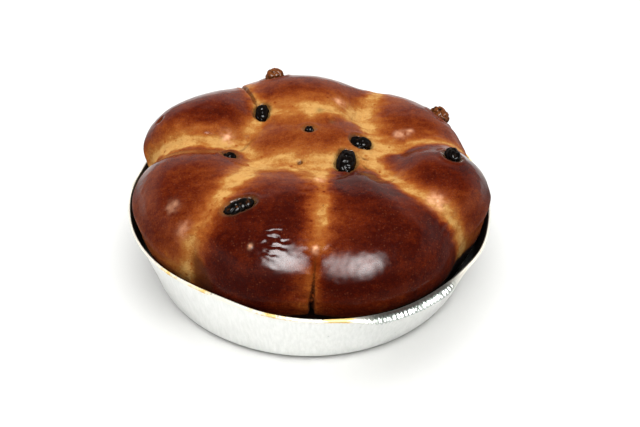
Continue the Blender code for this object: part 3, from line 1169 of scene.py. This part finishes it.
bake += spot_map(points, BROWNING)
blotched = lumps(points, TONE_LUMPS[0], 21.0, 3) * TONE_LUMPS[1]
bake += blotched * smooth_step(bake, 0.1, 0.5)
streaks = lumps(points * STREAK_STRETCH, STREAK_SIZE, 51.0, 3)
bake += streaks * (STREAK[0] + STREAK[1] * shred)
brushed = points[:, 2] + lumps(points, GLAZE_EDGE[0], 17.0) * GLAZE_EDGE[1]
glaze = LOW_GLAZE + (1.0 - LOW_GLAZE) * smooth_step(brushed, *GLAZE_HEIGHTS)
glaze *= 1.0 - np.clip(spot_map(points, DULL), 0.0, 1.0)
frayed = FRAY[0] + lumps(points, FRAY_SIZE, 44.0, 2) * FRAY[1]
scuffed = np.clip(spot_map(points, PAINTED_GLINTS) * frayed, 0.0, 1.0)
bake = np.clip(bake, 0.0, 1.0)
store_values(loaf, bake=bake, shred=shred, glaze=glaze, scuff=scuffed)
print("browning spots: %d, scuffs: %d" % (len(BROWNING), len(PAINTED_GLINTS)))

# %% [markdown]
# ### Torn dough in the seams
#
# A seam isn't cut, it tears: as the rolls rise, the dough between them is pulled apart
# into short strands. The number that says how pale a point is also says how torn it is,
# so the same number lifts low, stretched lumps there and leaves the crests smooth.

# %% Tearing the pale dough
TORN_SIZE = 3.0
TORN_HEIGHT = 0.6
TORN_STRETCH = (0.5, 1.0, 1.0)

normals = read_points(loaf.data, "normal")
torn = lumps(points * TORN_STRETCH, TORN_SIZE, 61.0, 3) * TORN_HEIGHT * shred
write_points(loaf.data, (points + normals * torn[:, None]) * MM)
print("torn dough stands up to %.1f mm proud" % torn.max())

# %% [markdown]
# ## The raisins
#
# Nine raisins show. A raisin is a dried grape, so its skin has sunk into deep folds
# with rounded ridges between them. Each starts from the plain solid, which already has
# the right place and size. Its loose triangles are merged, a voxel remesh gives it an
# even skin, and folds are pushed in where a slow noise crosses zero, which leaves sharp
# valleys between round ridges. The same noise used plainly would give only soft bumps.

# %% Wrinkling one raisin
RAISIN_COUNT = 9
RAISIN_VOXEL = 0.26
FOLD_SIZE = 3.6
FOLD_DEPTH = 1.0
FOLD_SHARPNESS = 5.0
CREASE_SIZE = 1.62  # finer folds between the large ones
CREASE_SHARE = 0.10
PLUMP = 0.15  # what the folds take is partly given back all over
# How far the egg wash has baked over some of them, 0 to 1.
CRUSTED = {4: 0.15, 5: 0.15, 8: 0.75, 9: 0.85}
# Some stand out of the dough: how much longer, wider and taller, and how far they lift.
STANDING = {
    1: ((1.0, 1.25, 1.1), 1.3),
    2: ((1.1, 1.1, 1.1), 0.6),
    6: ((0.82, 0.82, 0.82), -0.1),
}


def fold_skin(raisin, number):
    """Sinks sharp valleys into the skin and sets the raisin at its size and height."""
    points, normals = skin_of(raisin)
    folds = np.abs(lumps(points, FOLD_SIZE, number * 4.0))
    folds += CREASE_SHARE * np.abs(lumps(points, CREASE_SIZE, number * 9.0))
    sunk = FOLD_DEPTH * np.exp(-folds * FOLD_SHARPNESS)
    points -= normals * (sunk - PLUMP)[:, None]
    swollen, lifted = STANDING.get(number, ((1.0, 1.0, 1.0), 0.0))
    centre = points.mean(axis=0)
    points = centre + (points - centre) * swollen + (0.0, 0.0, lifted)
    write_points(raisin.data, points * MM)


def make_raisin(number):
    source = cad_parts["raisin_%d" % number]
    raisin = bpy.data.objects.new("wrinkled_raisin_%d" % number, source.data.copy())
    bpy.context.scene.collection.objects.link(raisin)
    raisin.data.materials.clear()
    with editing(raisin):
        bpy.ops.mesh.remove_doubles(threshold=1e-6)
        face_outwards()
    apply_modifier(raisin, "SUBSURF", levels=1, render_levels=1)
    apply_modifier(raisin, "REMESH", mode="VOXEL", voxel_size=RAISIN_VOXEL * MM)
    apply_modifier(raisin, "SMOOTH", factor=0.5, iterations=4)
    fold_skin(raisin, number)
    apply_modifier(raisin, "SMOOTH", factor=0.5, iterations=3)
    raisin.data.shade_smooth()
    store_values(raisin, crusted=np.full(len(raisin.data.vertices), CRUSTED.get(number, 0.0)))
    return raisin


raisins = [make_raisin(number) for number in range(1, RAISIN_COUNT + 1)]
print("raisins: %d triangles" % sum(count_triangles(raisin) for raisin in raisins))

# %% [markdown]
# ### Pockets round the raisins
#
# Dough shrinks from a raisin as both dry, so each sits in a small pocket with a raised
# lip, and its juice stains the edge. Where a raisin lies just under the crust only the
# juice comes through. Cutting the raisins out of the loaf would leave sharp holes.
# Instead each point of the crust near a raisin is moved by its distance from it.

# %% Pressing the pockets in
SEEPED = (Spot(5.5, 31.5, 1.8, 0.9), Spot(11.5, 23.5, 1.6, 0.6), Spot(-35.5, -1.5, 3, 0.5))
POCKET_REACH = 6.0
POCKET_DEPTH = 1.3
POCKET_WIDTH = 0.9
LIP_HEIGHT = 0.35
LIP_WIDTH = 1.1
LIP_DISTANCE = 2.4
JUICE_WIDTH = 1.6


def bell(gap, width):
    return math.exp(-((gap / width) ** 2))


points, normals = skin_of(loaf)
juicy = np.zeros(len(points))
for raisin in raisins:
    skin_points = read_points(raisin.data) / MM
    faces = [polygon.vertices[:] for polygon in raisin.data.polygons]
    tree = BVHTree.FromPolygons([Vector(row) for row in skin_points], faces)
    centre = skin_points.mean(axis=0)
    spread = np.linalg.norm(skin_points - centre, axis=1).max()
    near = np.linalg.norm(points - centre, axis=1) < spread + POCKET_REACH
    for index in np.nonzero(near)[0]:
        gap = tree.find_nearest(Vector(points[index]))[3]
        lip = LIP_HEIGHT * bell(gap - LIP_DISTANCE, LIP_WIDTH)
        points[index] += normals[index] * (lip - POCKET_DEPTH * bell(gap, POCKET_WIDTH))
        juicy[index] = max(juicy[index], bell(gap, JUICE_WIDTH))
write_points(loaf.data, points * MM)
store_values(loaf, juice=np.maximum(juicy, spot_map(points, SEEPED)))
print("pockets pressed round %d raisins" % len(raisins))

# %% [markdown]
# ## Paints
#
# Baking browns things unevenly: crust, raisin skin and splashes on the foil all carry
# slow blotches. Crust and foil also carry small separate dots, which are pores and pale
# flecks in the crust and soot on the rim of the foil. Each effect is a node group with
# named inputs, built once, and every material uses it with its own numbers. Separate
# nodes in each material would do the same, but then a fix would have to be made often.

# %% Shared node groups
def new_paint(name):
    paint = bpy.data.materials.new(name)
    paint.use_nodes = True
    tree = paint.node_tree
    place = add_node(tree, "TexCoord", {}).outputs["Object"]
    return paint, tree, tree.nodes["Principled BSDF"], place


def new_group(name, inputs, output):
    group = bpy.data.node_groups.new(name, "ShaderNodeTree")
    group.interface.new_socket("Place", in_out="INPUT", socket_type="NodeSocketVector")
    for label, value in inputs.items():
        socket = group.interface.new_socket(label, in_out="INPUT", socket_type="NodeSocketFloat")
        socket.default_value = value
    group.interface.new_socket(output, in_out="OUTPUT", socket_type="NodeSocketFloat")
    entry = group.nodes.new("NodeGroupInput")
    leave = group.nodes.new("NodeGroupOutput")
    return group, entry.outputs, leave.inputs[output]


def make_blotch_group():
    """Slow uneven browning, from -1 to 1, with finer detail on top."""
    group, given, result = new_group("uneven_browning", {"Scale": 200.0, "Grain": 0.5}, "Shade")
    sockets = {"Vector": given["Place"], "Scale": given["Scale"], "Roughness": given["Grain"]}
    cloud = add_node(group, "TexNoise", {**sockets, "Detail": 4.0})
    feed(group, times_plus(group, cloud.outputs["Fac"], 4.0, -2.0), result)
    return group


def make_dot_group():
    """Separate round dots: one in some of the cells of a random honeycomb."""
    inputs = {"Scale": 300.0, "Size": 0.2, "Share": 0.3}
    group, given, result = new_group("scattered_dots", inputs, "Mask")
    cells = add_node(group, "TexVoronoi", {"Vector": given["Place"], "Scale": given["Scale"]})
    parts = add_node(group, "SeparateColor", {"Color": cells.outputs["Color"]})
    reach = times(group, given["Size"], parts.outputs["Green"])
    inside = rise_between(group, cells.outputs["Distance"], reach, 0.0)
    chosen = reckon(group, "LESS_THAN", parts.outputs["Red"], given["Share"])
    feed(group, times(group, inside, chosen), result)
    return group


BLOTCHES = make_blotch_group()
DOTS = make_dot_group()


def use_group(tree, group, place, **values):
    node = tree.nodes.new("ShaderNodeGroup")
    node.node_tree = group
    feed(tree, place, node.inputs["Place"])
    for name, value in values.items():
        feed(tree, value, node.inputs[name])
    return node.outputs[0]


def cover_colours(tree, colour, covers):
    """Lays each colour over those before it, by its share."""
    for share, cover in covers:
        colour = blend_colours(tree, share, colour, (*cover, 1.0))
    return colour


def add_bump(tree, shader, height, strength, distance):
    sockets = {"Strength": strength, "Distance": distance, "Height": height}
    bump = add_node(tree, "Bump", sockets)
    feed(tree, bump.outputs["Normal"], shader.inputs["Normal"])


def wear(paint, *objects):
    for obj in objects:
        obj.data.materials.clear()
        obj.data.materials.append(paint)
    print(paint.name, "nodes:", len(paint.node_tree.nodes))


print("shared groups:", BLOTCHES.name, DOTS.name)

# %% [markdown]
# ### Crust
#
# Egg-washed crust is a thin clear glaze over browned dough. The baked tone of each point
# is already on the mesh, so the paint looks its colour up on a ramp that runs from raw
# gold through chestnut to nearly black. Blotches, pores and flecks break the tone up.
# The glaze is the shader's coat over a base that doesn't shine. It is weak low on the
# sides and all but gone where the dough tore. A trace of sheen gives dry crust its
# bloom. A glossy base with a roughness map could replace the coat, but a coat can be
# taken away altogether, which is what torn dough needs.

# %% Crust colours
CRUST_TONES = (
    (0.00, (0.375, 0.200, 0.0600)),
    (0.11, (0.305, 0.142, 0.0360)),
    (0.20, (0.255, 0.092, 0.0185)),
    (0.38, (0.205, 0.052, 0.0085)),
    (0.58, (0.135, 0.0235, 0.0036)),
    (0.80, (0.070, 0.0072, 0.0011)),
    (1.00, (0.030, 0.0019, 0.0004)),
)
# Painted shade: brown in shallow folds, black in deep cracks, in pits and on the side behind the
# rim.
FOLD_SHADE_BROWN = (0.055, 0.014, 0.003)
CRACK_SHADE_BLACK = (0.006, 0.002, 0.001)
FLECK_ORANGE = (0.32, 0.105, 0.045)
# Painted highlight: the colour of the pale pink glint spots.
GLINT_PINK = (0.64, 0.33, 0.19)
JUICE_BROWN = (0.075, 0.050, 0.016)
# How much each thing shifts the tone or covers the colour below it.
SLOW_SHADE = 0.07
PATCHY_SHADE = 0.10
FINE_SHADE = 0.08
PORE_SHADE = 0.45
FLECK_SHARE = 0.16
JUICE_SHARE = 0.6
FOLD_SHADE_SHARE = 0.75
# Painted shade: between which values of the crack shade a fold is painted brown, and then black.
FOLD_SHADE_EDGE = (0.08, 0.35)
CRACK_SHADE_EDGE = (0.55, 1.0)


def colour_crust(tree, place, patchy, fine, flecks):
    torn, crack = surface_value(tree, "shred"), surface_value(tree, "crack")
    slow = use_group(tree, BLOTCHES, place, Scale=120.0, Grain=0.65)
    pores = use_group(tree, DOTS, place, Scale=330.0, Size=0.45, Share=0.35)
    tone = times_plus(tree, slow, SLOW_SHADE, surface_value(tree, "bake"))
    tone = times_plus(tree, patchy, PATCHY_SHADE, tone)
    tone = times_plus(tree, fine, FINE_SHADE, tone)
    tone = times_plus(tree, times(tree, pores, torn), PORE_SHADE, tone)
    juice = times(tree, surface_value(tree, "juice"), JUICE_SHARE)
    # Painted shade in the creases: brown in shallow ones, black in deep ones.
    fold = times(tree, rise_between(tree, crack, *FOLD_SHADE_EDGE), FOLD_SHADE_SHARE)
    covers = (
        (times(tree, flecks, FLECK_SHARE), FLECK_ORANGE),
        # Painted highlight: pale pink spots for the glints on blisters.
        (surface_value(tree, "scuff"), GLINT_PINK),
        (juice, JUICE_BROWN),
        (fold, FOLD_SHADE_BROWN),
        (rise_between(tree, crack, *CRACK_SHADE_EDGE), CRACK_SHADE_BLACK),
    )
    return cover_colours(tree, ramp_colours(tree, tone, CRUST_TONES), covers)


print("crust tones:", len(CRUST_TONES))

# %% Crust paint
CRUST_FINISH = {
    "Roughness": 0.6,
    "Specular IOR Level": 0.0,
    "Coat Roughness": 0.14,
    "Coat IOR": 1.3,
    "Sheen Weight": 0.015,
    "Sheen Roughness": 0.45,
    "Sheen Tint": (1.0, 0.85, 0.85, 1.0),
}
CREST_GLAZE = 0.90
TORN_DULLER = -0.80
GLAZE_PATCHY = 0.12
CREST_BUMP = 1.8
TORN_FLATTER = -0.8
BUMP_HEIGHT = 0.00012


def set_finish(shader, finish):
    for socket, value in finish.items():
        shader.inputs[socket].default_value = value


def make_crust():
    paint, tree, shader, place = new_paint("egg_washed_crust")
    torn = surface_value(tree, "shred")
    patchy = use_group(tree, BLOTCHES, place, Scale=430.0, Grain=0.7)
    fine = use_group(tree, BLOTCHES, place, Scale=1200.0, Grain=0.6)
    flecks = use_group(tree, DOTS, place, Scale=850.0, Size=0.55, Share=0.50)
    feed(tree, colour_crust(tree, place, patchy, fine, flecks), shader.inputs["Base Color"])
    set_finish(shader, CRUST_FINISH)
    shine = times_plus(tree, torn, TORN_DULLER, CREST_GLAZE)
    shine = times_plus(tree, patchy, GLAZE_PATCHY, shine)
    shine = times(tree, shine, surface_value(tree, "glaze"))
    feed(tree, shine, shader.inputs["Coat Weight"])
    rough = times_plus(tree, torn, TORN_FLATTER, CREST_BUMP)
    height = times(tree, reckon(tree, "ADD", patchy, fine), rough)
    height = reckon(tree, "ADD", flecks, height)
    add_bump(tree, shader, height, 1.0, BUMP_HEIGHT)
    return paint


wear(make_crust(), loaf)

# %% [markdown]
# ### Foil
#
# Rolled aluminium is bright and only half smooth, with faint upright lines from the mould. Four
# other colours lie over it. Creamy grease on the rolled rim and golden egg baked on in places
# are stains. Grey on the crimped flange is painted shade for the dark reflections between its
# pleats, and the nearly black inner wall is painted shade for the gap beside the loaf. The more
# dirt lies on the metal, the less metallic it looks, so the masks of rim grease and egg turn the
# metal down, and so does the painted black of the inner wall.

# %% Foil paint
FOIL_DARK = (0.81, 0.82, 0.80, 1.0)
FOIL_LIGHT = (0.91, 0.915, 0.90, 1.0)
# Painted shade: grey-green on the crimped flange for the dark reflections between its pleats.
CRIMP_SHADE_GREY = (0.33, 0.37, 0.34)
RIM_CREAM = (0.86, 0.77, 0.56)
EGG_GOLD = (0.64, 0.42, 0.12)
SOOT_BROWN = (0.10, 0.07, 0.04)
INNER_SHADE_BLACK = (0.020, 0.016, 0.010)
CRIMP_SHADE_SHARE = 0.85
CREAM_SHARE = 0.5
LINE_SQUEEZE = (1.0, 1.0, 0.06)  # stretches the blotches into upright lines
EGG_FRAY = 0.28
EGG_EDGE = (0.35, 0.75)
RIM_METAL, INNER_SHADE_METAL, EGG_METAL = -0.50, -0.6, -0.5
FOIL_ROUGHNESS = (0.32, 0.05)  # of the sheet, and how much its lines vary it
LINE_HEIGHT = 0.00005


def make_foil():
    paint, tree, shader, place = new_paint("pressed_foil")
    upright = add_node(tree, "Mapping", {"Vector": place, "Scale": LINE_SQUEEZE})
    lines = use_group(tree, BLOTCHES, upright.outputs["Vector"], Scale=700.0, Grain=0.6)
    soot = use_group(tree, DOTS, place, Scale=400.0, Size=0.55, Share=0.35)
    blot = use_group(tree, BLOTCHES, place, Scale=330.0, Grain=0.6)
    rim, grease = surface_value(tree, "rim"), surface_value(tree, "grease")
    egg = times_plus(tree, blot, EGG_FRAY, surface_value(tree, "stain"))
    egg = rise_between(tree, egg, *EGG_EDGE)
    colour = blend_colours(tree, rise_between(tree, lines, -1.0, 1.0), FOIL_DARK, FOIL_LIGHT)
    covers = (
        # The grey crimps and the black inner wall are painted shade.
        (times(tree, surface_value(tree, "crimped"), CRIMP_SHADE_SHARE), CRIMP_SHADE_GREY),
        (times(tree, rim, CREAM_SHARE), RIM_CREAM),
        (egg, EGG_GOLD),
        (times(tree, soot, rim), SOOT_BROWN),
        (grease, INNER_SHADE_BLACK),
    )
    feed(tree, cover_colours(tree, colour, covers), shader.inputs["Base Color"])
    metal = times_plus(tree, rim, RIM_METAL, 1.0)
    metal = times_plus(tree, grease, INNER_SHADE_METAL, metal)
    metal = times_plus(tree, egg, EGG_METAL, metal)
    feed(tree, metal, shader.inputs["Metallic"])
    rough = times_plus(tree, lines, FOIL_ROUGHNESS[1], FOIL_ROUGHNESS[0])
    feed(tree, rough, shader.inputs["Roughness"])
    add_bump(tree, shader, lines, 0.5, LINE_HEIGHT)
    return paint


wear(make_foil(), pan)

# %% [markdown]
# ### Raisin skin
#
# A raisin in a crust is nearly black, brown where egg has baked over it, with a thin
# sticky shine. The shine is a coat again, so that the folds still gleam on a base that
# is as dark as it can be.

# %% Raisin paint
SKIN_TONES = ((0.0, (0.0008, 0.0006, 0.0006)), (1.0, (0.0045, 0.003, 0.0022)))
BAKED_OVER = (0.11, 0.032, 0.008)
SKIN_FINISH = {
    "Roughness": 0.45,
    "Specular IOR Level": 0.0,
    "Coat Weight": 0.22,
    "Coat Roughness": 0.06,
}
CRUSTED_FRAY = 0.5
CRUSTED_EDGE = (0.3, 0.9)


def make_raisin_skin():
    paint, tree, shader, place = new_paint("raisin_skin")
    cloud = use_group(tree, BLOTCHES, place, Scale=450.0, Grain=0.5)
    colour = ramp_colours(tree, rise_between(tree, cloud, -1.0, 1.0), SKIN_TONES)
    over = times_plus(tree, cloud, CRUSTED_FRAY, surface_value(tree, "crusted"))
    covers = ((rise_between(tree, over, *CRUSTED_EDGE), BAKED_OVER),)
    feed(tree, cover_colours(tree, colour, covers), shader.inputs["Base Color"])
    set_finish(shader, SKIN_FINISH)
    return paint


wear(make_raisin_skin(), *raisins)

# %% [markdown]
# ## Handing over
#
# Every piece rides on the part's one body, and the plain solid that it stands for is hidden.

# %% Ride and replace
def hand_over(piece, node):
    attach(piece, "root")
    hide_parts(node)


hand_over(pan, "foil_pan")
hand_over(loaf, "loaf")
for number, raisin in enumerate(raisins, start=1):
    hand_over(raisin, "raisin_%d" % number)
